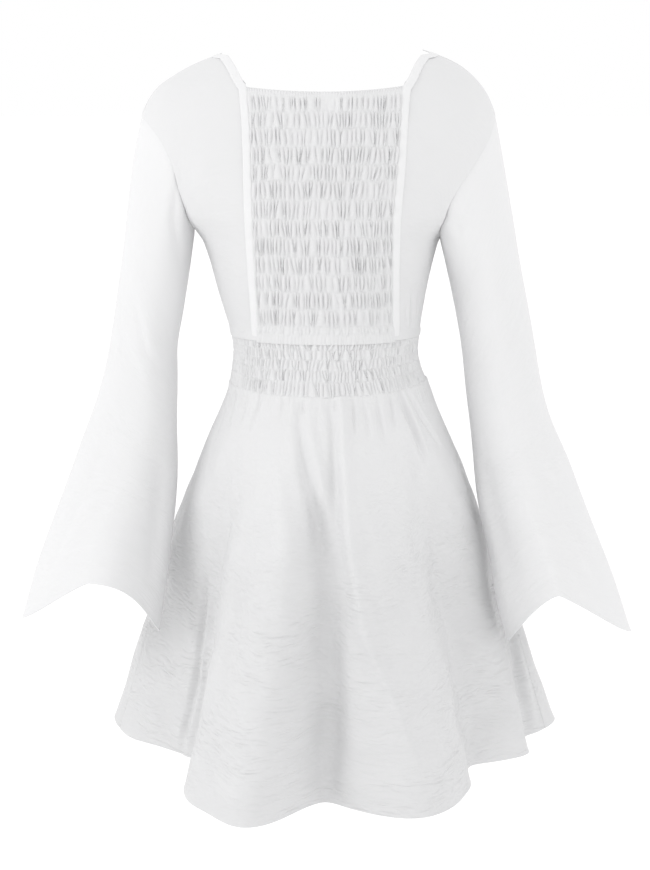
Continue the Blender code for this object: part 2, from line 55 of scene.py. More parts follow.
# %% [markdown]
# ## The form of the body
#
# A dress that hangs filled out follows the body inside it. One table gives the half widths and the depths
# of that form at a few heights, and a smooth curve runs through them. A turn goes round the form: 0 is
# the centre back, a quarter turn the right side, half a turn the centre front. A sculpted body with the
# cloth shrunk onto it was the other way, but a table can be read, and two pieces that share a seam get
# exactly the same points along it.

# %% Sizes of the body and skirt
BODY = (
    # height, half width on the left, on the right, depth at the back, at the front
    (0.006, 0.100, 0.100, 0.045, 0.044),
    (0.000, 0.116, 0.118, 0.050, 0.048),
    (-0.007, 0.135, 0.138, 0.056, 0.053),
    (-0.016, 0.157, 0.157, 0.062, 0.058),
    (-0.026, 0.176, 0.171, 0.068, 0.063),
    (-0.044, 0.202, 0.188, 0.077, 0.071),
    (-0.063, 0.215, 0.198, 0.084, 0.078),
    (-0.078, 0.221, 0.203, 0.088, 0.083),
    (-0.110, 0.224, 0.206, 0.096, 0.096),
    (-0.150, 0.213, 0.197, 0.103, 0.108),
    (-0.190, 0.182, 0.172, 0.105, 0.114),
    (-0.222, 0.151, 0.138, 0.103, 0.112),
    (-0.245, 0.142, 0.131, 0.100, 0.107),
    (-0.284, 0.131, 0.122, 0.092, 0.096),
    (-0.323, 0.120, 0.116, 0.087, 0.087),
    (-0.345, 0.114, 0.113, 0.086, 0.084),
    (-0.360, 0.113, 0.112, 0.089, 0.085),
    (-0.383, 0.115, 0.117, 0.100, 0.090),
    (-0.404, 0.119, 0.127, 0.112, 0.098),
    (-0.430, 0.129, 0.137, 0.126, 0.108),
    (-0.463, 0.144, 0.151, 0.141, 0.121),
    (-0.503, 0.159, 0.168, 0.155, 0.135),
    (-0.554, 0.177, 0.187, 0.170, 0.151),
    (-0.610, 0.195, 0.204, 0.183, 0.168),
    (-0.670, 0.209, 0.223, 0.195, 0.184),
    (-0.730, 0.228, 0.247, 0.204, 0.199),
    (-0.790, 0.245, 0.266, 0.211, 0.213),
    (-0.850, 0.263, 0.286, 0.217, 0.226),
    (-0.900, 0.275, 0.301, 0.221, 0.236),
)


def curve(table, column, at):
    """Values of one column of a table, on a smooth curve through its rows."""
    rows = np.array(table, float)
    keys, values = rows[:, 0], rows[:, column]
    if keys[0] > keys[-1]:
        keys, values = keys[::-1], values[::-1]
    steps = np.diff(values) / np.diff(keys)
    slopes = np.concatenate([steps[:1], np.zeros(len(keys) - 2), steps[-1:]])
    for i in range(1, len(keys) - 1):
        if steps[i - 1] * steps[i] > 0:
            slopes[i] = 2 * steps[i - 1] * steps[i] / (steps[i - 1] + steps[i])
    at = np.asarray(at, float)
    i = np.clip(np.searchsorted(keys, at) - 1, 0, len(keys) - 2)
    span = keys[i + 1] - keys[i]
    t = np.clip((at - keys[i]) / span, 0, 1)
    start = values[i] * (1 + 2 * t) + slopes[i] * span * t
    end = values[i + 1] * (3 - 2 * t) + slopes[i + 1] * span * (t - 1)
    return start * (1 - t) ** 2 + end * t**2


def on_body(turn, z):
    """Points of the body's form at some turns and heights."""
    turn, z = np.broadcast_arrays(turn, z)
    half_width = np.where(np.sin(turn) > 0, curve(BODY, 2, z), curve(BODY, 1, z))
    depth = np.where(np.cos(turn) > 0, curve(BODY, 3, z), curve(BODY, 4, z))
    return np.stack([half_width * np.sin(turn), -depth * np.cos(turn), z], axis=-1)


waist = on_body(np.radians([-90, 90]), -0.36)
print("The waist is", round(float(waist[1, 0] - waist[0, 0]), 3), "m across")

# %% [markdown]
# ## From a flat grid to a piece of cloth
#
# A grid primitive is the pattern piece. Each of its corners is moved onto one point of the form, and its
# UV map is set in metres of cloth, so that a weave drawn on it has its real size. The outward direction
# comes from the points themselves, which lets gathers and creases be added as small moves outwards.
# The thickness comes last, from a modifier that is applied, so that it is even all over the piece.

# %% Lay cloth onto the form
CLOTH = 0.0009


def outward(points, closed=False):
    """The outward direction at each point of a piece, whose rows go down and columns to the right."""
    down = np.gradient(points, axis=0)
    if closed:
        ring = points[:, :-1]
        across = np.roll(ring, -1, axis=1) - np.roll(ring, 1, axis=1)
        across = np.concatenate([across, across[:, :1]], axis=1)
    else:
        across = np.gradient(points, axis=1)
    normal = np.cross(down, across)
    return normal / np.linalg.norm(normal, axis=-1, keepdims=True)


def lay_cloth(name, points, width, length, keep=None, closed=False):
    """A grid laid onto points, with UVs in metres; keep says which corners have cloth."""
    rows, columns = points.shape[:2]
    bpy.ops.object.select_all(action="DESELECT")
    bpy.ops.mesh.primitive_grid_add(x_subdivisions=columns - 1, y_subdivisions=rows - 1, size=1)
    cloth = bpy.context.object
    cloth.name = cloth.data.name = name
    flat = np.empty(rows * columns * 3)
    cloth.data.vertices.foreach_get("co", flat)
    column = np.rint((flat[0::3] + 0.5) * (columns - 1)).astype(int)
    row = np.rint((0.5 - flat[1::3]) * (rows - 1)).astype(int)
    corners = np.empty(len(cloth.data.loops), int)
    cloth.data.loops.foreach_get("vertex_index", corners)
    along = np.linalg.norm(np.diff(points[:, columns // 2], axis=0), axis=1)
    along = np.concatenate([[0], np.cumsum(along)]) * length / along.sum()
    metres = np.stack([column[corners] * width / (columns - 1), along[row[corners]]], axis=1)
    cloth.data.uv_layers.active.data.foreach_set("uv", metres.ravel())
    cloth.data.vertices.foreach_set("co", points[row, column].ravel())
    bpy.ops.object.mode_set(mode="EDIT")
    if keep is not None:
        bpy.ops.mesh.select_all(action="DESELECT")
        bpy.ops.object.mode_set(mode="OBJECT")
        cloth.data.vertices.foreach_set("select", ~keep[row, column])
        bpy.ops.object.mode_set(mode="EDIT")
        bpy.ops.mesh.delete(type="VERT")
    if closed:
        bpy.ops.mesh.select_all(action="SELECT")
        bpy.ops.mesh.remove_doubles(threshold=1e-5)
    bpy.ops.object.mode_set(mode="OBJECT")
    return cloth


def thicken(cloth, thickness=CLOTH):
    """Gives the cloth its thickness inwards and lets light run smoothly over it."""
    bpy.ops.object.select_all(action="DESELECT")
    bpy.context.view_layer.objects.active = cloth
    cloth.select_set(True)
    bpy.ops.object.modifier_add(type="SOLIDIFY")
    cloth.modifiers[-1].thickness = thickness
    cloth.modifiers[-1].offset = -1
    bpy.ops.object.modifier_apply(modifier=cloth.modifiers[-1].name)
    bpy.ops.object.shade_smooth_by_angle(angle=math.radians(75))
    cloth.data.update()
    area = sum(polygon.area for polygon in cloth.data.polygons) / 2
    triangles = sum(len(polygon.vertices) - 2 for polygon in cloth.data.polygons)
    print(cloth.name, "has", triangles, "triangles and", round(area, 4), "square metres of cloth")


# %% [markdown]
# ## Soft creases
#
# A crease in hung cloth is a shallow trough with a raised lip beside it. Each one is drawn as a short
# path on the piece, with a half width and a depth, and fades out at both ends. A negative depth makes a
# ridge. Sculpting would do as well, but a short list of paths is easy to read and to move. The push is
# worked out for all corners of a piece at once.

# %% Press creases into a piece
def ease(t):
    """Smooth step from 0 to 1."""
    t = np.clip(t, 0, 1)
    return t * t * (3 - 2 * t)


def crease_push(x, y, creases):
    """How far creases move the cloth outwards; x and y are metres across and along the piece."""
    push = np.zeros(np.broadcast(x, y).shape)
    for path, half_width, depth, lip in creases:
        nearest = np.full(push.shape, np.inf)
        side = np.zeros(push.shape)
        run = np.zeros(push.shape)
        lengths = [math.dist(a, b) for a, b in zip(path, path[1:])]
        done = 0.0
        for (x0, y0), (x1, y1), length in zip(path, path[1:], lengths):
            t = np.clip(((x - x0) * (x1 - x0) + (y - y0) * (y1 - y0)) / length**2, 0, 1)
            away_x = x - x0 - t * (x1 - x0)
            away_y = y - y0 - t * (y1 - y0)
            away = np.hypot(away_x, away_y)
            closer = away < nearest
            nearest = np.where(closer, away, nearest)
            side = np.where(closer, np.sign(away_x * (y1 - y0) - away_y * (x1 - x0)), side)
            run = np.where(closer, done + t * length, run)
            done += length
        fade = np.sin(np.pi * np.clip(0.08 + 0.92 * run / done, 0, 1)) ** 0.6
        across = side * nearest / half_width
        push -= depth * fade * (np.exp(-across**2) - lip * np.exp(-((across - 1.7) ** 2)))
    return push


# %% [markdown]
# ## Gathers
#
# Smocking and shirring draw cloth up on lines of elastic. Between two lines it stands up in small
# puckers, shaped like lenses: broad in the middle, pinched to points at the elastic, never quite alike.
# Each band gets its own uneven borders between puckers, from a fixed seed, and each pucker its own
# height, lean and lopsided crest. A repeated wave would be shorter to write, but it looks like a machine
# part: cloth never gathers evenly.

# %% Uneven puckers between lines of elastic
def uneven_borders(count, wide_share, random):
    """Borders between puckers, from 0 to 1, with now and then a wide one."""
    widths = random.uniform(0.65, 1.3, count)
    widths *= np.where(random.random(count) < wide_share, 1.8, 1.0)
    return np.concatenate([[0], np.cumsum(widths)]) / widths.sum()


def band_of_puckers(across, down, count, random, wide_share=0.12, lean=0.45, pinch=2.2, kept=0.12):
    """Heights from 0 to 1 in one band; across and down are shares, kept is the height at the elastic."""
    top = uneven_borders(count, wide_share, random)
    bottom = np.clip(top + random.normal(0, lean / count, count + 1), 0, 1)
    bottom = np.sort(bottom)
    bottom[0], bottom[-1] = 0, 1
    heights = random.uniform(0.55, 1.1, count + 1)
    lopsided = random.uniform(0.65, 1.6, count + 1)
    result = np.zeros((len(down), len(across)))
    for r, share in enumerate(down):
        bow = math.sin(math.pi * share) * 0.25 / count
        borders = top + (bottom - top) * share + bow * np.sin(np.arange(count + 1) * 2.3)
        place = np.interp(across, borders, np.arange(count + 1))
        which = np.minimum(place.astype(int), count - 1)
        crest = np.sin(np.pi * np.clip(place - which, 0, 1) ** lopsided[which])
        swell = math.sin(math.pi * np.clip(share, 0, 1)) ** 0.55
        lens = swell * crest ** (0.75 + pinch * (1 - swell))
        result[r] = heights[which] * (kept * crest + (1 - kept) * lens)
    return result


def read_band(band, down):
    """Heights of a band of puckers in every column, at shares of the way down it."""
    place = np.clip(down, 0, 1) * (len(band) - 1)
    low = np.minimum(place.astype(int), len(band) - 2)
    part = place - low
    column = np.arange(band.shape[1])[None]
    return band[low, column] * (1 - part) + band[low + 1, column] * part


random = np.random.default_rng(83)
sample = band_of_puckers(np.linspace(0, 1, 200), np.linspace(0, 1, 9), 34, random)
print("A sample band of puckers is up to", round(float(sample.max()), 2), "of its full height")

# %% [markdown]
# ## Finishes
#
# The dress is one white crepe, a thin cotton-like weave with a fine horizontal crinkle. A finish is a
# material whose nodes are added with one method, and a small class lets shader maths be written as plain
# sums and products. Only the base colour, the roughness and the normal change over the surface, and the
# base colour holds painted shade.

# %% A class for shader maths and one for finishes
class Wire:
    """A socket of a material that can be added, subtracted and multiplied."""

    def __init__(self, finish, socket):
        self.finish = finish
        self.socket = socket

    def maths(self, operation, first, second):
        return self.finish.node("ShaderNodeMath", {"operation": operation}, {0: first, 1: second})

    def __add__(self, other):
        return self.maths("ADD", self, other)

    __radd__ = __add__

    def __mul__(self, other):
        return self.maths("MULTIPLY", self, other)

    __rmul__ = __mul__

    def __sub__(self, other):
        return self.maths("SUBTRACT", self, other)

    def __rsub__(self, other):
        return self.maths("SUBTRACT", other, self)


class Nodes:
    """A node tree that is filled one node at a time."""

    def __init__(self, tree):
        self.tree = tree

    def node(self, kind, settings=None, sockets=None, output=0):
        """A node with its settings made first, then the values or wires of its sockets."""
        node = self.tree.nodes.new(kind)
        for setting, value in (settings or {}).items():
            setattr(node, setting, value)
        self.fill(node, sockets or {})
        return Wire(self, node.outputs[output])

    def fill(self, node, sockets):
        """Sets or links sockets of a node."""
        for socket, value in sockets.items():
            if isinstance(value, Wire):
                self.tree.links.new(value.socket, node.inputs[socket])
            else:
                node.inputs[socket].default_value = value


class Finish(Nodes):
    """A procedural material for cloth."""

    def __init__(self, name):
        self.material = bpy.data.materials.new(name)
        self.material.use_nodes = True
        super().__init__(self.material.node_tree)
        self.shader = self.tree.nodes["Principled BSDF"]

    def noise(self, place, stretch, detail=2.0, roughness=0.5):
        """Noise from 0 to 1 on a place in metres, with so many lumps to the metre each way."""
        scaled = self.node("ShaderNodeVectorMath", {"operation": "MULTIPLY"}, {0: place, 1: stretch})
        sockets = {"Vector": scaled, "Scale": 1.0, "Detail": detail, "Roughness": roughness}
        return self.node("ShaderNodeTexNoise", {}, sockets)

    def surface(self, colour, painted_shade_colour, painted_shade_mottle, roughness, height):
        """Ends a finish: a base colour mixed from the white and its painted shade copy, a roughness and a
        height in metres.
        """
        mixed = self.node(
            "ShaderNodeMix", {"data_type": "RGBA"}, {0: painted_shade_mottle, 6: painted_shade_colour, 7: colour}, output=2
        )
        normal = self.node("ShaderNodeBump", {}, {"Strength": 1.0, "Distance": 1.0, "Height": height})
        self.fill(self.shader, {"Base Color": mixed, "Roughness": roughness, "Normal": normal})
        self.fill(self.shader, {"Sheen Weight": 0.15, "Sheen Roughness": 0.5, "IOR": 1.35})
        return self.material


# %% [markdown]
# The crinkle is the crepe's own grain: short wavy furrows that run across the skirt, about 4 mm apart and
# 15 to 30 mm long, and stronger on the lower half, where the cloth hangs free. The bodice and sleeves
# show only a trace of it. Under it lies the weave, threads half a millimetre apart. The furrows come
# from stretched noise, bent by a wider noise and folded at its middle: a wave would lie too regular.
# Where the crinkle grows, the colour is painted darker in mottled patches: painted shade for the furrows.

# %% The crepe of the bodice, sleeves and skirt
WEAVE_HEIGHT = 0.00005


def cool_white(grey):
    """The colour of the cloth: a grey that is a touch bluer than red or green."""
    return (grey, grey, grey + 0.005, 1.0)


def crepe_finish(name, crinkle, fade_from, fade_to, white=0.690, painted_shade_grey=0.660):
    """White crepe whose crinkle, in metres of height, grows between two lengths down the piece, and whose
    colour is painted darker there towards a painted shade grey.
    """
    finish = Finish(name)
    place = finish.node("ShaderNodeUVMap")
    split = finish.node("ShaderNodeSeparateXYZ", {}, {0: place}, output=1)
    grown = finish.node(
        "ShaderNodeMapRange", {"interpolation_type": "SMOOTHSTEP"},
        {"Value": split, "From Min": fade_from, "From Max": fade_to, "To Min": 0.25, "To Max": 1.0},
    )
    bend = finish.noise(place, (12, 18, 1), detail=1.0) * 0.024
    shift = finish.node("ShaderNodeCombineXYZ", {}, {1: bend})
    bent = finish.node("ShaderNodeVectorMath", {"operation": "ADD"}, {0: place, 1: shift})
    lumps = finish.noise(bent, (30, 118, 1), detail=1.5, roughness=0.5)
    furrows = finish.node("ShaderNodeMath", {"operation": "ABSOLUTE"}, {0: lumps * 4 - 2})
    patches = finish.noise(place, (9, 12, 1), detail=1.0)
    weave = finish.noise(place, (1500, 1900, 1), detail=1.0)
    height = furrows * grown * (patches * 1.6 - 0.2) * crinkle + weave * WEAVE_HEIGHT
    painted_shade_mottle = finish.noise(place, (14, 30, 1), detail=4.0)
    # Painted shade: the colour goes from the white towards the painted shade grey where the crinkle has
    # grown, down the piece, in mottled patches.
    painted_lit_share = 1 - grown * (0.95 - painted_shade_mottle * 0.5)
    rough = weave * 0.08 + 0.80
    return finish.surface(cool_white(white), cool_white(painted_shade_grey), painted_lit_share, rough, height)


# The whites differ from piece to piece as painted light and shade on one cloth: lighter on the sleeves and
# strips, darker on the smocking and the skirt.
crepe = crepe_finish("crepe_cloth", 0.00045, 0.0, 0.3)
sleeve_crepe = crepe_finish("sleeve_crepe", 0.00045, 0.0, 0.3, 0.725, 0.690)
skirt_crepe = crepe_finish("crinkled_skirt_crepe", 0.0016, 0.06, 0.26, 0.690, 0.600)
gathered_crepe = crepe_finish("gathered_crepe", 0.00025, 0.0, 0.1, 0.685, 0.665)
pressed_crepe = crepe_finish("pressed_strip_crepe", 0.00015, 0.0, 0.1, 0.745, 0.725)
finishes = (crepe, sleeve_crepe, skirt_crepe, gathered_crepe, pressed_crepe)
print("Finishes:", ", ".join(finish.name for finish in finishes))

# %% [markdown]
# ## The smocked centre back
#
# The panel's top edge is a small frill: flat and finely ruffled for 6 mm, then the first row of puckers.
# Twelve bands follow, about 21 mm high, between thirteen lines of elastic. Under the last line comes a
# small row of ruffle, and then the lowest strip lies smoother and stands a little proud over the
# waistband. A small patch in the middle of the top band is pressed smooth.

# %% Sizes of the smocked panel
PANEL_EDGE = (
    # height, distance from the centre line to the left seam, to the right seam
    (0.001, 0.1235, 0.1180),
    (-0.008, 0.1130, 0.1090),
    (-0.016, 0.1070, 0.1030),
    (-0.027, 0.1005, 0.0975),
    (-0.036, 0.0955, 0.0922),
    (-0.040, 0.0925, 0.0897),
    (-0.120, 0.0868, 0.0837),
    (-0.208, 0.0848, 0.0770),
    (-0.345, 0.0790, 0.0790),
)
ELASTIC_Z = (
    -0.0695, -0.0888, -0.1092, -0.1298, -0.1483, -0.1700, -0.1932,
    -0.2142, -0.2360, -0.2575, -0.2785, -0.2995, -0.3205,
)
RUFFLE_BOTTOM_Z = -0.3300
NECK_BACK_Z = (-0.0415, -0.0402)
NECK_BACK_SAG = 0.006
WAIST_TOP_Z = -0.3400
SEAM = 0.0006
TUCKED = 0.0015
PUCKERS = 38
PUCKER_HEIGHT = 0.0036
SEWN_EDGE_LIFT = 0.0006
ELASTIC_DIP = 0.0004
ELASTIC_HALF_WIDTH = 0.0009
PANEL_PROUD = 0.0020


def edge_turn(side, z, inset=0.0):
    """Turn on the body of the seam beside the smocked panel; side is -1 for left, 1 for right."""
    column = 1 if side < 0 else 2
    edge = curve(PANEL_EDGE, column, z) + inset
    return side * np.arcsin(np.minimum(1.0, edge / curve(BODY, column, z)))


# %% Lay, gather and finish the smocked panel
def smocked_panel():
    columns, rows = 300, 152
    across = np.linspace(0, 1, columns)
    share = np.linspace(0, 1, rows)
    neck = NECK_BACK_Z[0] + (NECK_BACK_Z[1] - NECK_BACK_Z[0]) * across
    neck = neck - NECK_BACK_SAG * 4 * across * (1 - across)
    bottom = WAIST_TOP_Z - 0.0015
    z = neck[None] + (bottom - neck[None]) * share[:, None]
    left, right = edge_turn(-1, z, TUCKED), edge_turn(1, z, TUCKED)
    points = on_body(left + (right - left) * across[None], z)
    wave = 0.0009 * np.sin(across * 23 + 1.0) + 0.0006 * np.sin(across * 61)
    level = z + wave[None] * ease((neck[None] - z) / 0.02)
    height = np.zeros_like(z)
    random = np.random.default_rng(12)
    lines = ELASTIC_Z + (RUFFLE_BOTTOM_Z, bottom - 0.004)
    for upper, lower in zip((0.0,) + lines, lines):
        is_header = upper == 0.0
        start = neck[None] + 0 * z if is_header else upper
        down = (start - level) / (start - lower)
        inside = (down >= 0) & (down < 1)
        steps = np.linspace(0, 1, 25)
        band = band_of_puckers(across, steps, PUCKERS + random.integers(-2, 3), random, 0.07)
        if is_header:
            band *= ease((steps[:, None] - 0.18) / 0.3) * 1.05
        if lower < ELASTIC_Z[-1]:
            band = band ** 0.7 * (0.5 if upper == ELASTIC_Z[-1] else 0.3)
        height = np.where(inside, read_band(band, down), height)
    frill = np.exp(-((neck[None] - z) / 0.005) ** 2)
    height += 0.16 * frill * np.sin(across[None] * 2 * np.pi * 58 + 2 * np.sin(across[None] * 17))
    bare = np.exp(-(((across[None] - 0.5) * 0.17 / 0.008) ** 4) - ((z + 0.057) / 0.009) ** 4)
    height *= 1 - 0.9 * bare
    edges = ease((across - 0.008) / 0.008) * ease((0.992 - across) / 0.008)
    push = PUCKER_HEIGHT * height * edges[None] + SEWN_EDGE_LIFT * (1 - edges[None])
    for line in ELASTIC_Z:
        push -= ELASTIC_DIP * np.exp(-(((level - line) / ELASTIC_HALF_WIDTH) ** 2))
    push += PANEL_PROUD * ease((ELASTIC_Z[-1] + 0.002 - z) / 0.010)
    return lay_cloth("smocked_back_cloth", points + outward(points) * push[..., None], 0.24, 0.30)


smocked_back_cloth = smocked_panel()
thicken(smocked_back_cloth)

# %% [markdown]
# ## The side panels and their flat strips
#
# Each side panel of the back runs from the shoulder seam down to the waist, with the armhole on one side
# and the smocked panel on the other. A strip is stitched down flat along its inner edge and runs on up
# the neck. The rows of the grid fan out from the inner edge to the armhole, as the cut does. Cutting the
# armhole out of a square grid would leave a ragged edge; a fan of rows ends exactly on the seam.

# %% Sizes of the armholes and side panels
NECK_POINT_Z = {-1: -0.003, 1: 0.001}
ARMHOLE_TOP_Z = -0.077
ARMHOLE_BOTTOM_Z = {-1: -0.213, 1: -0.222}
ARMHOLE_HALF_DEPTH = 0.058
ARMHOLE_SKEW = {-1: 0.0, 1: 0.42}
ARMHOLE_STEPS = 10
INNER_ROW_Z = (-0.006, -0.014, -0.027, -0.040, -0.070, -0.100, -0.130, -0.160, -0.192, -0.222)
LOWER_ROW_Z = (-0.250, -0.284, -0.316)
WAIST_STEP = 1 + len(INNER_ROW_Z) + len(LOWER_ROW_Z)
STRIP_WIDTH = 0.0105
STRIP_START = 0.50
BODY_RADIUS = 0.11
LIFT_START_Z = WAIST_TOP_Z + 0.012


def armhole(side, loop_turn):
    """Turn on the body, and height, of points of the armhole seam."""
    middle = (ARMHOLE_TOP_Z + ARMHOLE_BOTTOM_Z[side]) / 2
    z = middle + (ARMHOLE_TOP_Z - middle) * np.cos(loop_turn)
    y = -ARMHOLE_HALF_DEPTH * np.sin(loop_turn) * (1 - ARMHOLE_SKEW[side] * np.cos(loop_turn))
    depth = np.where(y < 0, curve(BODY, 3, z), curve(BODY, 4, z))
    return side * np.arccos(-y / depth), z


def side_rows(side, steps, on_back):
    """Inner height, then turn and height at the outer edge, at steps from the shoulder to the waist."""
    inner = (NECK_POINT_Z[side],) + INNER_ROW_Z + LOWER_ROW_Z + (WAIST_TOP_Z + SEAM / 2,)
    inner_z = np.interp(steps, np.arange(len(inner)), inner)
    loop_turn = np.pi * np.minimum(steps, ARMHOLE_STEPS) / ARMHOLE_STEPS
    turn, z = armhole(side, loop_turn if on_back else -loop_turn)
    turn = np.abs(turn) if on_back else np.pi - np.abs(turn)
    below = steps > ARMHOLE_STEPS
    return inner_z, np.where(below, np.pi / 2, turn), np.where(below, inner_z, z)


def fine_steps(count, *stops):
    """Even steps from the shoulder to the waist that also land on some stops."""
    steps = np.linspace(0, WAIST_STEP, count)
    for stop in stops:
        steps[np.argmin(np.abs(steps - stop))] = stop
    return steps


def side_place(side, steps, share):
    """Turn and height on a back side panel, from its inner edge at 0 to its outer edge at 1."""
    inner_z, outer_turn, outer_z = side_rows(side, steps, True)
    seam = np.abs(edge_turn(side, inner_z, SEAM / 2))
    inner_turn = np.where(steps < 1, np.pi / 2 + (seam - np.pi / 2) * steps, seam)
    turn = inner_turn[:, None] + (outer_turn - inner_turn)[:, None] * share
    return side * turn, inner_z[:, None] + (outer_z - inner_z)[:, None] * share


# %% Lay the side panels and strips
SIDE_CREASES = {
    # path of (turn in degrees, height), half width, depth, lip
    -1: (
        (((-82, -0.214), (-68, -0.180), (-58, -0.158)), 0.010, 0.0018, 0.3),
        (((-70, -0.195), (-62, -0.160), (-55, -0.135)), 0.007, 0.0010, 0.3),
        (((-48.5, -0.102), (-52, -0.190), (-59.6, -0.292)), 0.010, 0.0014, 0.2),
    ),
    1: (
        (((57.3, -0.288), (60, -0.315), (62.9, -0.340)), 0.0022, 0.0022, 0.5),
        (((65.3, -0.292), (69, -0.315), (72.1, -0.340)), 0.0025, 0.0020, 0.5),
        (((53.6, -0.305), (55, -0.318), (57.2, -0.338)), 0.0020, 0.0014, 0.4),
        (((78, -0.220), (66, -0.192), (55, -0.170)), 0.008, 0.0014, 0.3),
        (((84, -0.150), (70, -0.125), (60, -0.118)), 0.010, 0.0012, 0.3),
    ),
}


def in_metres(creases, radius, flare=0.0, length=1.0):
    """Creases drawn in degrees and shares of a length, turned into metres on a form that may flare."""
    return [
        ([(math.radians(a) * (radius + flare * b), b * length) for a, b in path], half_width, depth, lip)
        for path, half_width, depth, lip in creases
    ]


def lift_at_waist(z):
    """From 0 to 1 over the last centimetre above the waist seam, where the bodice stands over the band."""
    return ease((LIFT_START_Z - z) / 0.008)


def order(side, points):
    """Columns from left to right as seen from outside the back."""
    return points[:, ::-1] if side < 0 else points


def back_side(side, name):
    steps = fine_steps(112, 1, ARMHOLE_STEPS)
    share = np.linspace(0, 1, 64)[None]
    turn, z = side_place(side, steps, share)
    points = order(side, on_body(turn, z))
    creases = in_metres(SIDE_CREASES[side], BODY_RADIUS)
    push = order(side, crease_push(turn * BODY_RADIUS, z, creases))
    ordered = order(side, turn)
    push = push + 0.0007 * np.sin(z * 34 + ordered * 5.0) * np.sin(ordered * 7 - z * 21)
    fade = ease((order(side, z) - LIFT_START_Z) / 0.010)
    fade *= order(side, ease((1 - share) / 0.10) * ease(share / 0.10) * np.ones_like(z))
    push = push * fade + 0.0016 * lift_at_waist(order(side, z))
    return lay_cloth(name, points + outward(points) * push[..., None], 0.17, 0.36)


def strip(side, name):
    steps = np.linspace(STRIP_START, WAIST_STEP, 230)
    share = np.linspace(0, 1, 11)
    edge_points = [on_body(*side_place(side, steps, np.array([[s]])))[:, 0] for s in (0.0, 0.02)]
    rate = np.linalg.norm(edge_points[1] - edge_points[0], axis=1) / 0.02
    reach = np.minimum(STRIP_WIDTH / rate, 1.0)
    turn, z = side_place(side, steps, share[None] * reach[:, None])
    points = order(side, on_body(turn, z))
    across = order(side, share[None] * np.ones_like(z))
    rounded = np.clip(1 - (2 * across - 1) ** 6, 0, 1) ** 0.5
    ripple = 0.00016 * np.sin(steps * 11.0 + 3 * np.sin(steps * 2.1))[:, None]
    push = 0.0003 + (0.0004 + 0.0008 * rounded + ripple) * ease(steps / 0.7)[:, None]
    return lay_cloth(name, points + outward(points) * push[..., None], STRIP_WIDTH, 0.36)


left_side_cloth = back_side(-1, "left_side_cloth")
right_side_cloth = back_side(1, "right_side_cloth")
left_strip = strip(-1, "left_strip")
right_strip = strip(1, "right_strip")
for cloth in (left_side_cloth, right_side_cloth):
    thicken(cloth)
for cloth in (left_strip, right_strip):
    thicken(cloth, 0.0008)

# %% [markdown]
# ## The front bodice
#
# The front is hidden in the photograph, so it is plain: one piece with both shoulder straps and a square
# neck lower than the back's. The grid covers the whole front, and its corners inside the neck opening
# are deleted, as the neck is cut out of the cloth. It could be two straps joined to a lower part, but
# then the straps and the front would meet in a seam that no maker sews.

# %% Lay the front bodice
NECK_FRONT_Z = -0.130
NECK_FRONT_SPREAD = 0.006
FRONT_CREASES = (
    # path of (turn in degrees, height), half width, depth, lip
    (((104, -0.200), (125, -0.235), (140, -0.290)), 0.012, 0.0020, 0.3),
    (((256, -0.205), (236, -0.240), (222, -0.285)), 0.012, 0.0018, 0.3),
    (((120, -0.300), (124, -0.335)), 0.004, 0.0014, 0.4),
    (((146, -0.292), (149, -0.335)), 0.005, 0.0016, 0.4),
    (((205, -0.305), (203, -0.338)), 0.004, 0.0014, 0.4),
    (((238, -0.296), (233, -0.336)), 0.004, 0.0016, 0.4),
)


def bodice_front():
    neck_step = 1 + INNER_ROW_Z.index(NECK_FRONT_Z)
    steps = fine_steps(100, 1, neck_step, ARMHOLE_STEPS)
    turns, heights, keeps = [], [], []
    inner = {}
    for side in (1, -1):
        inner_z, outer_turn, outer_z = side_rows(side, steps, False)
        seam = np.abs(edge_turn(side, np.maximum(inner_z, NECK_FRONT_Z), NECK_FRONT_SPREAD))
        inner_turn = np.where(steps < 1, np.pi / 2 + (seam - np.pi / 2) * steps, seam)
        inner[side] = (seam, inner_z)
        share = np.linspace(0, 1, 30)[None]
        turn = np.pi - (inner_turn[:, None] + (outer_turn - inner_turn)[:, None] * share)
        turns.append(turn)
        heights.append(inner_z[:, None] + (outer_z - inner_z)[:, None] * share)
    middle = np.linspace(0, 1, 42)[None, 1:-1]
    from_right = np.pi - inner[1][0][:, None]
    from_left = np.pi + inner[-1][0][:, None]
    level = inner[1][1][:, None] * (1 - middle) + inner[-1][1][:, None] * middle
    between = from_right + (from_left - from_right) * middle
    turn = np.concatenate([turns[0][:, ::-1], between, 2 * np.pi - turns[1]], axis=1)
    z = np.concatenate([heights[0][:, ::-1], level, heights[1]], axis=1)
    keep = np.ones_like(z, bool)
    keep[steps < neck_step, 30:-30] = False
    points = on_body(turn, z)
    push = crease_push(turn * BODY_RADIUS, z, in_metres(FRONT_CREASES, BODY_RADIUS))
    push += 0.0006 * np.sin(turn * 6) * np.sin(z * 28 + turn)
    push += 0.0012 * lift_at_waist(z)
    column = np.arange(z.shape[1])
    push *= ease(np.minimum(column, column[::-1]) / 4.0)[None]
    return lay_cloth("front_bodice_cloth", points + outward(points) * push[..., None], 0.42, 0.36, keep)


front_bodice_cloth = bodice_front()
thicken(front_bodice_cloth)

# %% [markdown]
# ## The waistband
#
# The back of the band is shirred on four lines of elastic into five rows of small puckers, which
# flatten out near the side seams. The front half is hidden and lies flat. The top row of each grid is
# tucked behind the bodice, as a seam allowance is, so that no light falls through the seam.

# %% Lay the two halves of the waistband
WAIST_BOTTOM_Z = -0.4010
BAND_LINES = (0.0, 0.134, 0.326, 0.519, 0.727, 1.0)
BAND_PUCKERS = 86
BAND_PUCKER_HEIGHT = 0.0030
HIDDEN_EDGE = 0.003
HIDDEN_DEPTH = 0.0012


def band_bottom(turn):
    """Height of the seam between band and skirt, which rises towards the sides, most on the right."""
    rise = np.where(np.sin(turn) > 0, 0.0068, 0.0030)
    return WAIST_BOTTOM_Z + rise * np.sin(turn) ** 2


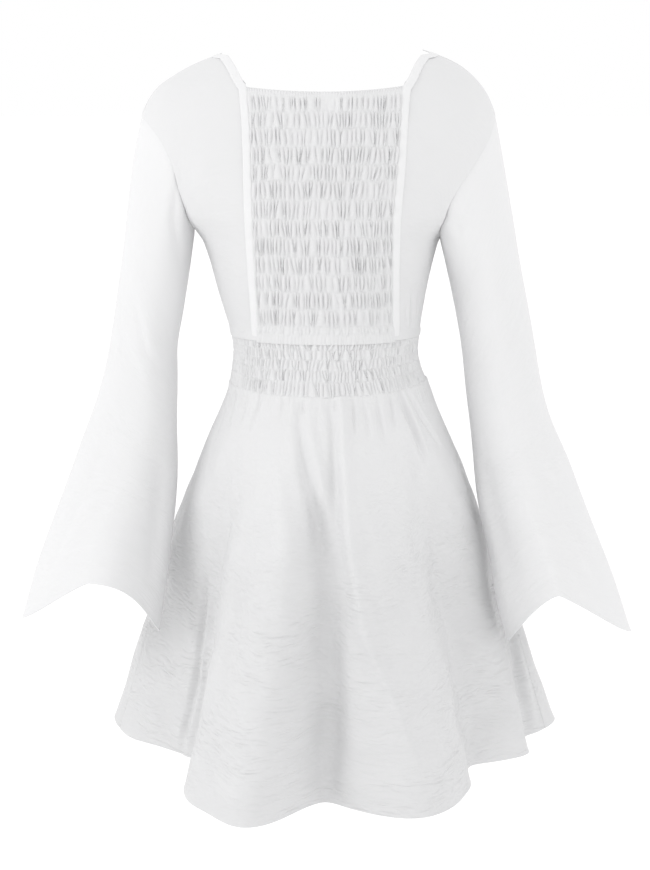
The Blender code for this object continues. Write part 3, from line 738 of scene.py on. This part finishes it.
def waistband(name, start, gathers, columns, rows):
    across = np.linspace(0, 1, columns)
    gap = SEAM / 2 / 0.113
    turn = (start + gap + (math.pi - 2 * gap) * across)[None] * np.ones((rows, 1))
    top = WAIST_TOP_Z - SEAM / 2
    hidden = -HIDDEN_EDGE / (top - WAIST_BOTTOM_Z)
    share = np.concatenate([[hidden], np.linspace(0, 1, rows - 1)])[:, None] * np.ones((1, columns))
    z = top + (band_bottom(turn) - top) * share
    points = on_body(turn, z)
    push = np.zeros_like(z)
    if gathers:
        random = np.random.default_rng(7)
        wavy = share + 0.012 * np.sin(across * 19)[None] * np.sin(share * np.pi)
        for upper, lower in zip(BAND_LINES, BAND_LINES[1:]):
            steps = np.linspace(0, 1, 17)
            bars = band_of_puckers(across, steps, gathers, random, 0.05, 0.5, 1.2, 0.5)
            value = read_band(bars, (wavy - upper) / (lower - upper))
            push = np.where((wavy >= upper) & (wavy <= lower), value, push)
        degrees = np.degrees(turn)
        flat = 0.25 + 0.75 * ease((degrees + 88) / 36) * ease((84 - degrees) / 24)
        push = BAND_PUCKER_HEIGHT * push * flat
        for line in BAND_LINES[1:-1]:
            push -= 0.0002 * np.exp(-(((wavy - line) / 0.012) ** 2))
    else:
        push += 0.0005 * np.sin(turn * 9 + 2 * np.sin(z * 60)) * np.sin(share * np.pi)
    push[0] -= HIDDEN_DEPTH
    return lay_cloth(name, points + outward(points) * push[..., None], 0.40, 0.065)


band_back_cloth = waistband("band_back_cloth", -math.pi / 2, BAND_PUCKERS, 560, 50)
band_front_cloth = waistband("band_front_cloth", math.pi / 2, 0, 120, 16)
for cloth in (band_back_cloth, band_front_cloth):
    thicken(cloth)

# %% [markdown]
# ## The skirt
#
# The skirt is gathered into the waist seam. Its large folds swing out towards the hem: a deep valley runs
# down the middle of the back between two lobes, and each fold is one row of a table, which also holds for
# the solids. Short gathers fan out under the seam, and creases are drawn on top. A simulated skirt would
# hang in folds too, but not in these, so each one is placed where the real one lies.

# %% Sizes of the skirt's folds
HEM_SIDE_Z = -0.846
HEM_BACK_DROP = 0.021
FOLD_GROWTH = 0.9
SKIRT_RADIUS = 0.118
SKIRT_FLARE = 0.135
SKIRT_LENGTH = 0.45
SKIRT_FOLDS = (
    # turn at the waist, turn at the hem, push at the hem, half width in degrees, start down the skirt
    (-4, -2, -0.033, 7.0, 0.02),
    (-11, -14, 0.070, 6.4, 0.00),
    (-24, -28, 0.035, 8.0, 0.05),
    (10, 18, 0.048, 9.3, 0.00),
    (-47, -54, -0.062, 8.5, 0.10),
    (-68, -70, -0.044, 8.5, 0.30),
    (45, 53, -0.060, 9.0, 0.10),
    (78, 80, -0.036, 6.0, 0.45),
    (97, 99, 0.006, 6.0, 0.50),
    (-104, -108, 0.022, 9.0, 0.15),
    (106, 112, 0.020, 9.0, 0.15),
    (-124, -130, -0.042, 9.0, 0.10),
    (128, 134, -0.040, 9.0, 0.10),
    (-146, -152, 0.030, 9.0, 0.05),
    (148, 155, 0.034, 9.0, 0.05),
    (178, 182, -0.040, 9.0, 0.05),
)
BACK_CREASES = (
    # path of (turn in degrees, share of the length), half width, depth, lip
    (((-13, 0.006), (-12.5, 0.035)), 0.0028, 0.0030, 0.3),
    (((-14.6, 0.02), (-13.4, 0.07), (-8.6, 0.16), (-3.6, 0.28), (-1.0, 0.38)), 0.0066, 0.0080, 0.3),
    (((2.4, 0.01), (3.6, 0.08), (3.6, 0.20), (3.4, 0.34)), 0.0055, 0.0050, 0.0),
    (((-2.4, 0.27), (1.2, 0.42), (2.0, 0.56), (1.6, 0.72), (0.8, 0.86), (0.4, 1.02)), 0.0125, 0.0085, 0.5),
    (
        ((7.6, -0.01), (7.4, 0.183), (8.6, 0.373), (11.1, 0.564), (15.2, 0.709), (20, 0.90)),
        0.0062, -0.0094, 0.0,
    ),
    (((5.2, 0.006), (5.0, 0.030)), 0.0025, 0.0026, 0.2),
    (((14.1, 0.004), (12.9, 0.090)), 0.0022, 0.0022, 0.4),
    (((20.0, 0.004), (20.5, 0.100)), 0.0030, 0.0022, 0.3),
    (((27.4, 0.006), (27.3, 0.110)), 0.0035, 0.0030, 0.4),
    (((36.4, 0.000), (34.4, 0.090)), 0.0035, 0.0026, 0.4),
    (((43.5, 0.006), (46.3, 0.070), (51.9, 0.185)), 0.0038, 0.0056, 0.5),
    (((50.4, 0.005), (56.4, 0.077), (64.5, 0.160)), 0.0030, 0.0028, 0.4),
    (((-24.0, 0.002), (-25.0, 0.050)), 0.0030, 0.0018, 0.3),
    (((-40.6, 0.002), (-42.7, 0.090)), 0.0030, 0.0026, 0.4),
    (((-52.4, 0.004), (-51.0, 0.080)), 0.0026, 0.0020, 0.3),
    (((-66.0, 0.004), (-59.5, 0.100)), 0.0030, 0.0026, 0.4),
    (((-74.0, 0.010), (-70.0, 0.150)), 0.0035, 0.0020, 0.3),
    (((-18.5, 0.17), (-15.0, 0.28), (-12.5, 0.40)), 0.0080, -0.0045, 0.0),
    (((-30.0, 0.30), (-27.0, 0.52), (-30.0, 0.78)), 0.0140, 0.0070, 0.2),
    (((-58.3, 0.50), (-59.2, 0.771), (-65.3, 1.01)), 0.0060, 0.0070, 0.5),
    (((86.5, 0.62), (84.6, 0.865), (84.0, 1.01)), 0.0060, 0.0050, 0.5),
    (((18.0, 0.16), (21.0, 0.30), (24.0, 0.42)), 0.0120, 0.0036, 0.2),
)
FRONT_SKIRT_CREASES = (
    (((103, 0.00), (106, 0.10), (110, 0.19)), 0.0040, 0.0034, 0.5),
    (((121, 0.00), (119, 0.08)), 0.0030, 0.0020, 0.4),
    (((140, 0.00), (138, 0.12), (134, 0.26)), 0.0070, 0.0040, 0.5),
    (((157, 0.00), (158, 0.09)), 0.0028, 0.0020, 0.4),
    (((171, 0.00), (173, 0.16), (176, 0.32)), 0.0075, 0.0044, 0.5),
    (((188, 0.00), (188, 0.07)), 0.0026, 0.0020, 0.3),
    (((196, 0.00), (198, 0.20), (200, 0.48), (205, 0.80)), 0.0060, -0.0026, 0.0),
    (((214, 0.00), (217, 0.11)), 0.0034, 0.0022, 0.4),
    (((232, 0.00), (229, 0.10), (224, 0.20)), 0.0045, 0.0034, 0.5),
    (((250, 0.00), (247, 0.09)), 0.0030, 0.0020, 0.4),
)


def on_skirt(turn, share):
    """Points of the skirt's form, with its large folds."""
    turn, share = np.broadcast_arrays(turn, share)
    top = band_bottom(turn)
    hem = HEM_SIDE_Z - HEM_BACK_DROP * np.maximum(0, np.cos(turn))
    points = on_body(turn, top + (hem - top) * share)
    push = np.zeros(turn.shape)
    for waist_turn, hem_turn, hem_push, half_width, start in SKIRT_FOLDS:
        centre = np.radians(waist_turn + (hem_turn - waist_turn) * share)
        offset = (turn - centre + np.pi) % (2 * np.pi) - np.pi
        grown = np.maximum(0, (share - start) / (1 - start)) ** FOLD_GROWTH
        push += hem_push * grown * np.exp(-0.5 * (offset / math.radians(half_width)) ** 2)
    level = points * (1, 1, 0)
    return points + level / np.linalg.norm(level, axis=-1, keepdims=True) * push[..., None]


# %% Lay, gather and crease the skirt
def short_gathers(across, share, count, random):
    """Small gathers under the waist seam, each of its own depth and length."""
    borders = uneven_borders(count, 0.1, random)
    depths = random.uniform(0.3, 1.2, count)
    lengths = random.uniform(0.012, 0.060, count) * random.uniform(0.4, 1.0, count)
    place = np.interp(across, borders, np.arange(count + 1))
    which = np.minimum(place.astype(int), count - 1)
    crest = np.sin(np.pi * np.clip(place - which, 0, 1)) ** 0.8
    return depths[which] * crest * np.exp(-share / lengths[which]) * ease((share + 0.004) / 0.012)


def skirt_half(name, start, creases, columns, rows, seed):
    across = np.linspace(0, 1, columns)[None]
    even = np.linspace(0, 1, rows - 1)[:, None]
    share = 0.45 * even + 0.55 * even**1.7
    share = share - 0.010 * np.sin(2 * np.pi * even) * even
    share = np.concatenate([[[-HIDDEN_EDGE / SKIRT_LENGTH]], share])
    gap = SEAM / 2 / (0.12 + 0.15 * share)
    turn = start + gap + (math.pi - 2 * gap) * across
    points = on_skirt(turn, share)
    random = np.random.default_rng(seed)
    push = 0.0014 * short_gathers(across + 0 * share, share + 0 * across, 66, random)
    x = turn * (SKIRT_RADIUS + SKIRT_FLARE * share)
    drawn = in_metres(creases, SKIRT_RADIUS, SKIRT_FLARE, SKIRT_LENGTH)
    push = push + crease_push(x, share * SKIRT_LENGTH + 0 * x, drawn)
    loose = ease(share / 0.25)
    push += loose * 0.0012 * np.sin(turn * 15 + 5 * share) * np.sin(share * 17 + turn * 3)
    push += loose * 0.0007 * np.sin(turn * 31 - 9 * share + 1.3) * np.sin(share * 29 - turn * 5)
    scallops = 1 + 0.4 * np.sin(turn * 62 + 2 * np.sin(turn * 9))
    push += 0.0010 * np.exp(-((share / 0.010) ** 2)) * scallops
    push += 0.0006 * ease((share - 0.990) / 0.004)
    push *= ease(across / 0.015) * ease((1 - across) / 0.015)
    push[0] = -HIDDEN_DEPTH
    return lay_cloth(name, points + outward(points) * push[..., None], 0.95, 0.46)


skirt_back_cloth = skirt_half("skirt_back_cloth", -math.pi / 2, BACK_CREASES, 380, 118, 21)
skirt_front_cloth = skirt_half("skirt_front_cloth", math.pi / 2, FRONT_SKIRT_CREASES, 280, 96, 22)
for cloth in (skirt_back_cloth, skirt_front_cloth):
    thicken(cloth)

# %% [markdown]
# ## The bell sleeves
#
# A bell sleeve is one piece with a single seam along its inner fold, narrow to the elbow and flared to an
# arched hem with two points. It lies between an outer and an inner fold, which a table gives along its
# length. The grid is rolled up round them and its two long edges are merged. A cylinder would need its
# corners moved in the same way, but a grid keeps the flat cut's own rows and columns.

# %% Sizes of the sleeves
SLEEVES = {
    -1: (
        # share of length, outer fold x, y, z, inner fold x, y, z, half depth, pointedness
        (0.00, -0.2215, 0.000, -0.077, -0.1590, 0.000, -0.213, 0.058, 0.00),
        (0.08, -0.2310, 0.000, -0.124, -0.1650, -0.001, -0.255, 0.054, 0.00),
        (0.18, -0.2405, 0.000, -0.189, -0.1730, -0.003, -0.309, 0.050, 0.02),
        (0.30, -0.2500, -0.002, -0.266, -0.1820, -0.008, -0.367, 0.046, 0.05),
        (0.42, -0.2622, -0.008, -0.342, -0.1817, -0.018, -0.425, 0.043, 0.10),
        (0.54, -0.2794, -0.018, -0.415, -0.1810, -0.032, -0.482, 0.043, 0.16),
        (0.66, -0.3048, -0.030, -0.485, -0.1827, -0.050, -0.537, 0.046, 0.22),
        (0.78, -0.3315, -0.042, -0.555, -0.1876, -0.070, -0.590, 0.050, 0.28),
        (0.90, -0.3552, -0.055, -0.623, -0.1944, -0.090, -0.642, 0.055, 0.33),
        (1.00, -0.3717, -0.065, -0.681, -0.2003, -0.103, -0.687, 0.060, 0.36),
    ),
    1: (
        (0.00, 0.2020, 0.000, -0.077, 0.1380, 0.000, -0.222, 0.058, 0.00),
        (0.08, 0.2125, 0.000, -0.130, 0.1476, -0.001, -0.263, 0.054, 0.00),
        (0.18, 0.2260, 0.000, -0.196, 0.1580, -0.003, -0.314, 0.050, 0.02),
        (0.30, 0.2398, -0.002, -0.275, 0.1680, -0.008, -0.374, 0.046, 0.05),
        (0.42, 0.2550, -0.008, -0.352, 0.1740, -0.018, -0.433, 0.043, 0.10),
        (0.54, 0.2705, -0.018, -0.428, 0.1800, -0.032, -0.492, 0.043, 0.16),
        (0.66, 0.2997, -0.030, -0.499, 0.1865, -0.050, -0.547, 0.046, 0.22),
        (0.78, 0.3272, -0.042, -0.569, 0.1978, -0.070, -0.601, 0.050, 0.28),
        (0.90, 0.3542, -0.055, -0.639, 0.2066, -0.090, -0.655, 0.055, 0.33),
        (1.00, 0.3736, -0.065, -0.698, 0.2184, -0.103, -0.699, 0.060, 0.36),
    ),
}
SLEEVE_HEM_ARCH = 0.068
SLEEVE_ARCH_PEAK = {-1: -0.07, 1: -0.27}
SLEEVE_ARCH_CURVE = {-1: (1.15, 2.8), 1: (1.15, 1.6)}
SLEEVE_ARCH_START = 0.50
SLEEVE_BLEND = 0.16
SLEEVE_FLUTES = 5
SLEEVE_FLUTE_DEPTH = 0.003
SLEEVE_RADIUS = 0.060
SLEEVE_FLARE = 0.045
SLEEVE_LENGTH = 0.62


def sleeve_tube(side, loop_turn, share):
    """Points of a sleeve as a plain tube between its two folds."""
    row = [curve(SLEEVES[side], column, share) for column in range(1, 9)]
    outer, inner = np.stack(row[0:3], axis=-1), np.stack(row[3:6], axis=-1)
    cos, sin = np.cos(loop_turn), np.sin(loop_turn)
    points = (outer + inner) / 2 + (outer - inner) / 2 * cos[..., None]
    bulge = sin * np.abs(sin) ** row[7] * row[6]
    flute = SLEEVE_FLUTE_DEPTH * share**2 * np.cos(SLEEVE_FLUTES * loop_turn) * np.abs(sin)
    peak = SLEEVE_ARCH_PEAK[side]
    outer_curve, inner_curve = SLEEVE_ARCH_CURVE[side]
    towards_outer = np.clip((cos - peak) / (1 - peak), 0, 1) ** outer_curve
    towards_inner = np.clip((peak - cos) / (1 + peak), 0, 1) ** inner_curve
    arch = 1 - np.where(cos > peak, towards_outer, towards_inner)
    points[..., 1] += flute - bulge
    points[..., 2] += SLEEVE_HEM_ARCH * arch * ease((share - SLEEVE_ARCH_START) / (1 - SLEEVE_ARCH_START))
    return points


def on_sleeve(side, loop_turn, share):
    """Points of a sleeve: it starts as the armhole seam and soon becomes the plain tube."""
    loop_turn, share = np.broadcast_arrays(loop_turn, share)
    turn, z = armhole(side, loop_turn)
    away = np.stack([side + 0 * z, 0 * z, -np.maximum(0, np.cos(loop_turn))], axis=-1)
    away *= SEAM / np.linalg.norm(away, axis=-1, keepdims=True)
    correction = on_body(turn, z) + away - sleeve_tube(side, loop_turn, 0 * share)
    return sleeve_tube(side, loop_turn, share) + correction * (1 - ease(share / SLEEVE_BLEND))[..., None]


# %% Roll up and crease the sleeves
SLEEVE_CREASES = {
    # path of (turn round the sleeve in degrees, share of the length), half width, depth, lip
    -1: (
        (((96, 0.00), (110, 0.06), (140, 0.10)), 0.012, 0.0024, 0.2),
        (((70, 0.30), (95, 0.36), (130, 0.37)), 0.010, 0.0014, 0.3),
        (((30, 0.36), (60, 0.40), (90, 0.42)), 0.009, 0.0012, 0.3),
        (((132, 0.60), (140, 0.78), (146, 0.94)), 0.016, 0.0030, 0.3),
        (((60, 0.62), (52, 0.80), (46, 0.96)), 0.016, 0.0022, 0.3),
        (((250, 0.34), (280, 0.37), (310, 0.36)), 0.010, 0.0016, 0.3),
        (((225, 0.60), (222, 0.80), (218, 0.96)), 0.016, 0.0030, 0.3),
        (((292, 0.64), (298, 0.82), (304, 0.96)), 0.016, 0.0024, 0.3),
    ),
    1: (
        (((126, 0.00), (110, 0.05), (84, 0.06)), 0.008, 0.0020, 0.3),
        (((24, 0.32), (46, 0.34), (72, 0.35)), 0.006, 0.0014, 0.4),
        (((30, 0.36), (52, 0.375), (80, 0.37)), 0.006, 0.0012, 0.4),
        (((138, 0.56), (140, 0.78), (138, 0.96)), 0.016, 0.0030, 0.3),
        (((70, 0.60), (60, 0.78), (52, 0.95)), 0.016, 0.0022, 0.3),
        (((250, 0.33), (280, 0.36), (312, 0.35)), 0.010, 0.0016, 0.3),
        (((225, 0.58), (221, 0.80), (219, 0.95)), 0.016, 0.0030, 0.3),
        (((295, 0.62), (300, 0.82), (306, 0.95)), 0.016, 0.0024, 0.3),
    ),
}


def sleeve(side, name):
    columns, rows = 161, 130
    around = np.linspace(0, 2 * np.pi, columns)[None]
    loop_turn = around if side < 0 else around[:, ::-1]
    even = np.linspace(0, 1, rows)[:, None]
    share = even - 0.012 * np.sin(2 * np.pi * even)
    points = on_sleeve(side, loop_turn, share)
    x = loop_turn * (SLEEVE_RADIUS + SLEEVE_FLARE * share)
    drawn = in_metres(SLEEVE_CREASES[side], SLEEVE_RADIUS, SLEEVE_FLARE, SLEEVE_LENGTH)
    push = crease_push(x, share * SLEEVE_LENGTH + 0 * x, drawn)
    push += 0.0006 * np.sin(loop_turn * 4 + 3 * share) * np.sin(share * 23) * ease(share / 0.1)
    push += 0.0005 * ease((share - 0.993) / 0.003)
    push -= 0.0004 * np.exp(-(((share - 0.004) / 0.004) ** 2))
    away = outward(points, closed=True)
    points = points + away * push[..., None]
    back = points[0] - points[1]
    back /= np.linalg.norm(back, axis=-1, keepdims=True)
    points[0] += back * HIDDEN_EDGE - away[0] * HIDDEN_DEPTH
    points[:, -1] = points[:, 0]
    return lay_cloth(name, points, 0.42, 0.63, closed=True)


left_sleeve_cloth = sleeve(-1, "left_sleeve_cloth")
right_sleeve_cloth = sleeve(1, "right_sleeve_cloth")
for cloth in (left_sleeve_cloth, right_sleeve_cloth):
    thicken(cloth)

# %% Give each piece its finish and its place in the dress
SIDES = [left_side_cloth, right_side_cloth]
CUTS = (
    # piece, finish, slot, solid it stands for,
    # then flat width and length, area of the cut, how it is held, what it hangs from
    (smocked_back_cloth, gathered_crepe, "smocked_crepe", "back_smocked_panel",
     (0.26, 0.31), 0.078, "gathered", SIDES),
    (left_side_cloth, crepe, "crepe", "back_side_left",
     (0.20, 0.36), 0.040, "hung", [front_bodice_cloth]),
    (right_side_cloth, crepe, "crepe", "back_side_right",
     (0.20, 0.36), 0.038, "hung", [front_bodice_cloth]),
    (left_strip, pressed_crepe, "binding", "neck_binding_left",
     (0.010, 0.36), 0.0036, "laid", [left_side_cloth]),
    (right_strip, pressed_crepe, "binding", "neck_binding_right",
     (0.010, 0.36), 0.0036, "laid", [right_side_cloth]),
    (front_bodice_cloth, crepe, "crepe", "bodice_front",
     (0.44, 0.37), 0.095, "hung", SIDES),
    (band_back_cloth, gathered_crepe, "smocked_crepe", "waistband_back",
     (0.48, 0.064), 0.030, "gathered", [smocked_back_cloth]),
    (band_front_cloth, crepe, "crepe", "waistband_front",
     (0.34, 0.062), 0.020, "stretched", [front_bodice_cloth]),
    (skirt_back_cloth, skirt_crepe, "crepe", "skirt_back",
     (0.95, 0.47), 0.30, "gathered", [band_back_cloth]),
    (skirt_front_cloth, skirt_crepe, "crepe", "skirt_front",
     (0.90, 0.45), 0.29, "gathered", [band_front_cloth]),
    (left_sleeve_cloth, sleeve_crepe, "crepe", "sleeve_left",
     (0.44, 0.64), 0.20, "hung", [left_side_cloth, front_bodice_cloth]),
    (right_sleeve_cloth, sleeve_crepe, "crepe", "sleeve_right",
     (0.44, 0.64), 0.20, "hung", [right_side_cloth, front_bodice_cloth]),
)
for cloth, finish, slot, solid, flat, area, held, hangs_from in CUTS:
    cloth.data.materials.clear()
    cloth.data.materials.append(finish)
    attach(cloth, "root")
    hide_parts(solid)
print(len(CUTS), "pieces of cloth stand for the solids")

# %% [markdown]
# ## The studio
#
# A pale floor and a nearly even white surround give most of the light, as in the photograph, where folds
# darken mostly by their own depth. A lamp on the left makes that side a little brighter and gives the
# folds their direction, a weak one lower down lights the skirt, and a fill lamp stands on the right. One
# strong lamp would be simpler, but it would throw hard shadows that the photograph doesn't show.

# %% Floor, light and camera
FLOOR_Z = -1.38
bpy.ops.mesh.primitive_plane_add(size=80, location=(0, 0, FLOOR_Z))
floor = bpy.context.object
floor.name = "studio_floor"
floor_paint = Finish("pale_floor")
floor_paint.fill(floor_paint.shader, {"Base Color": (0.9, 0.9, 0.9, 1), "Roughness": 0.9})
floor_paint.fill(floor_paint.shader, {"Emission Color": (1, 1, 1, 1), "Emission Strength": 0.12})
floor.data.materials.append(floor_paint.material)


def lamp(name, place, aim, size, watts):
    """A square soft lamp that looks at a point."""
    away = np.array(place) - np.array(aim)
    pitch = math.acos(away[2] / np.linalg.norm(away))
    turn = math.atan2(away[1], away[0]) + math.pi / 2
    bpy.ops.object.light_add(type="AREA", location=place, rotation=(pitch, 0, turn))
    light = bpy.context.object
    light.name = name
    light.data.size = size
    light.data.energy = watts


lamp("key_lamp", (-2.2, -1.1, 0.4), (0, 0, -0.4), 0.8, 11)
lamp("low_lamp", (-1.8, -1.4, -0.8), (-0.1, 0, -0.5), 1.0, 1.5)
lamp("fill_lamp", (2.0, -1.2, 0.1), (0.2, 0, -0.4), 1.2, 5.5)

world = bpy.data.worlds.new("white_surround")
bpy.context.scene.world = world
world.use_nodes = True
surround = Nodes(world.node_tree)
direction = surround.node("ShaderNodeTexCoord")
upwards = surround.node("ShaderNodeSeparateXYZ", {}, {0: direction}, output=2)
glow = surround.node(
    "ShaderNodeMapRange", {"interpolation_type": "SMOOTHSTEP"},
    {"Value": upwards, "From Min": 0.22, "From Max": 0.75, "To Min": 1.0, "To Max": 1.15},
)
surround.fill(world.node_tree.nodes["Background"], {"Color": (1, 1, 1, 1), "Strength": glow})
bpy.context.scene.view_settings.view_transform = "Standard"

bpy.ops.object.camera_add(location=(0, -2.4, 0), rotation=(math.radians(79), 0, 0))
camera = bpy.context.object
camera.name = "camera_at_the_back"
camera.data.lens = 81.9
camera.data.sensor_width = 36
camera.data.shift_x = -1 / 870
bpy.context.scene.camera = camera
print("The camera stands", abs(camera.location.y), "m behind the dress")
